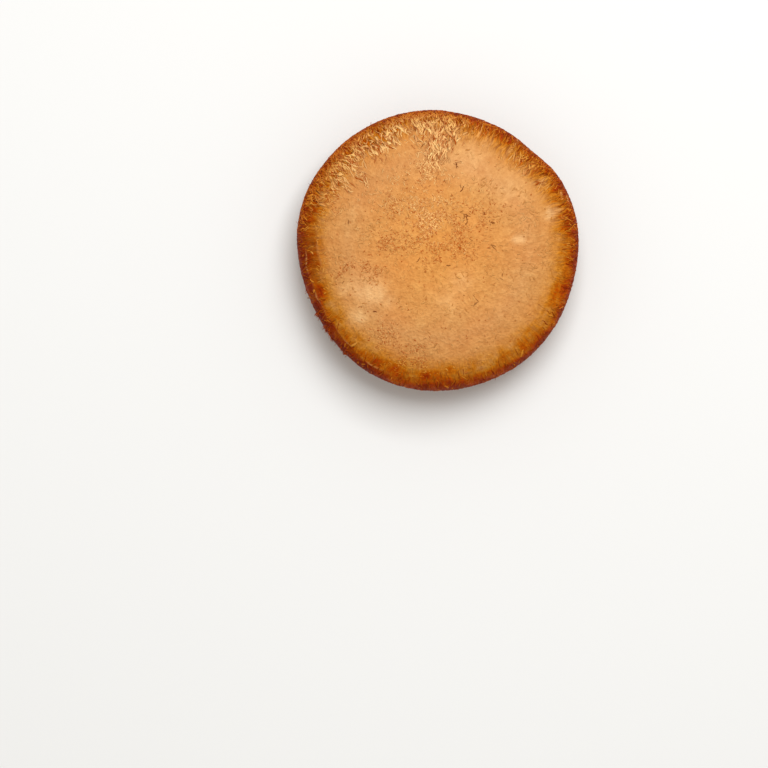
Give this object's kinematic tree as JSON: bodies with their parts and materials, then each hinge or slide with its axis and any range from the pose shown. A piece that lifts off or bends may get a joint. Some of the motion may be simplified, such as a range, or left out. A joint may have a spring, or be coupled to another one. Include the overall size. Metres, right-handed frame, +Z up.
{
  "type": "portobello mushroom",
  "caption": "Large open brown mushroom with a broad flat-topped cap, a rolled-in margin, dark gills underneath and a short trimmed stem that it stands on.",
  "frame": {"origin": "middle of the stem's flat cut end, which the mushroom stands on", "axes": "+Z up through the stem and the crown of the cap; +X to the right and +Y away from the viewer, as the cap is seen from above"},
  "size_m": [0.0927, 0.0923, 0.0339],
  "materials": {
    "cap_skin": "matte",
    "gill_tissue": "matte",
    "stem_flesh": "matte"
  },
  "bodies": {
    "root": {"cap": "cap_skin", "gills": "gill_tissue", "stem": "stem_flesh"}
  },
  "joints": []
}
